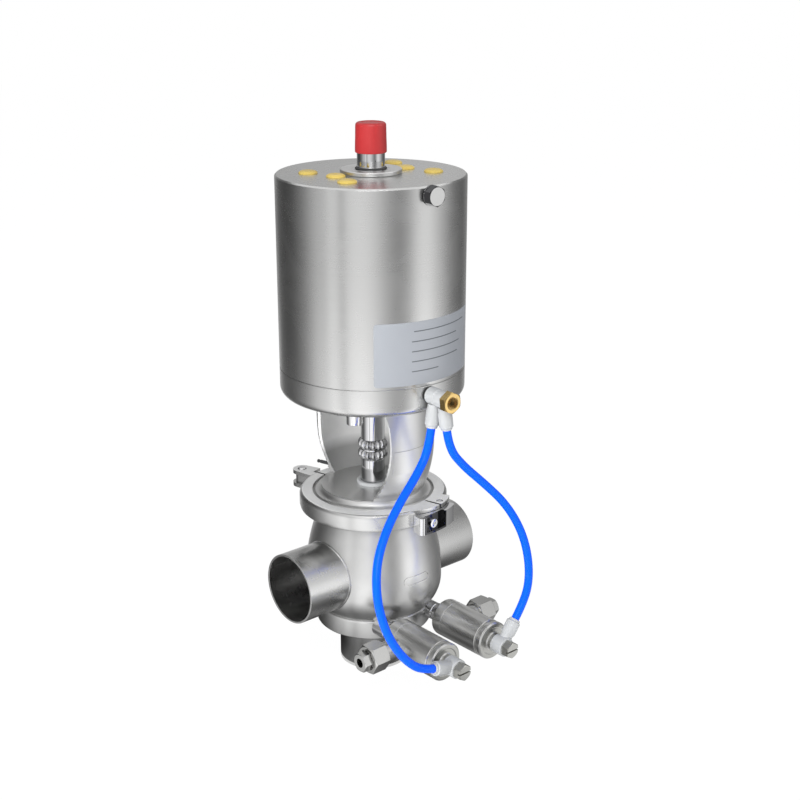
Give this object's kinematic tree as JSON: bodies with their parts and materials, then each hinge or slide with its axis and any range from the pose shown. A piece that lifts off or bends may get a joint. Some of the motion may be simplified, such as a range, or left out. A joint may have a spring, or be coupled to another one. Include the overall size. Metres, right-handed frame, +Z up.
{
  "type": "mixproof valve",
  "caption": "Pneumatic mixproof valve: barrel body with tube ports, hinged clamp, open lantern, tall spring actuator and small cleaning valves on air tubes",
  "frame": {"origin": "centre of the bottom outlet's end face", "axes": "+Z up along the stem; X along the through run, with the cleaning valves, the air fitting and the vent on the -Y side"},
  "size_m": [0.2233, 0.2666, 0.5536],
  "materials": {
    "satin_steel": "satin",
    "polished_steel": "polished",
    "spring_steel": "satin",
    "aluminium": "satin",
    "brass": "satin",
    "black_rubber": "matte",
    "dark_polymer": "matte",
    "white_polymer": "gloss",
    "yellow_polymer": "gloss",
    "red_polymer": "gloss",
    "blue_polymer": "gloss"
  },
  "bodies": {
    "housing": {"valve_body": "satin_steel", "port_pipe_left": "satin_steel", "port_pipe_right": "satin_steel", "outlet_pipe": "satin_steel", "seat_ring": "satin_steel", "bonnet": "satin_steel", "bonnet_seal": "black_rubber", "stem_seal": "black_rubber", "stem_bush": "white_polymer", "clamp_half_left": "satin_steel", "clamp_half_right": "satin_steel", "clamp_hinge_pin": "polished_steel", "clamp_latch": "polished_steel", "clamp_latch_pin": "polished_steel", "clamp_screw": "polished_steel", "lantern": "satin_steel", "lantern_bolts": "polished_steel", "lantern_side_pin": "dark_polymer", "actuator_base": "satin_steel", "base_seal": "black_rubber", "lower_bush": "dark_polymer", "actuator_shell": "satin_steel", "top_plugs": "yellow_polymer", "vent_plug": "polished_steel", "main_spring": "spring_steel", "upper_bush": "satin_steel", "rod_wiper": "black_rubber", "air_stud": "brass", "air_spacer": "black_rubber", "air_ring_left": "white_polymer", "air_ring_right": "white_polymer", "tube_collets": "white_polymer", "clean_necks": "satin_steel", "banjo_screws": "polished_steel", "union_nuts": "satin_steel", "union_tails": "satin_steel", "air_tube_left": "blue_polymer", "air_tube_right": "blue_polymer", "clean_seat_block_left": "satin_steel", "clean_housing_left": "satin_steel", "clean_end_cap_left": "satin_steel", "clean_spring_left": "spring_steel", "clean_elbow_left": "white_polymer", "clean_seat_block_right": "satin_steel", "clean_housing_right": "satin_steel", "clean_end_cap_right": "satin_steel", "clean_spring_right": "spring_steel", "clean_elbow_right": "white_polymer"},
    "lift_train": {"valve_plug": "polished_steel", "plug_face_seal": "black_rubber", "plug_ring_seal": "black_rubber", "valve_stem": "polished_steel", "stem_coupling": "polished_steel", "piston": "aluminium", "piston_ring": "dark_polymer", "piston_clip": "polished_steel", "actuator_rod": "polished_steel", "indicator_cap": "red_polymer"},
    "plunger_left": {"clean_plunger_left": "polished_steel"},
    "plunger_right": {"clean_plunger_right": "polished_steel"}
  },
  "joints": [
    {"name": "main_lift", "type": "slide", "parent": "housing", "child": "lift_train", "axis": [0, 0, 1], "range_m": [0, 0.024], "stiffness_N_per_m": 14600, "deforming": ["main_spring"]},
    {"name": "clean_plunger_left_slide", "type": "slide", "parent": "housing", "child": "plunger_left", "axis": [0, 1, 0], "range_m": [0, 0.006], "stiffness_N_per_m": 2700, "deforming": ["clean_spring_left"]},
    {"name": "clean_plunger_right_slide", "type": "slide", "parent": "housing", "child": "plunger_right", "axis": [0, 1, 0], "range_m": [0, 0.006], "stiffness_N_per_m": 2700, "deforming": ["clean_spring_right"]}
  ],
  "couplings": [
    {"joint": "clean_plunger_left_slide", "follows": "main_lift", "ratio": 0.25},
    {"joint": "clean_plunger_right_slide", "follows": "main_lift", "ratio": 0.25}
  ]
}
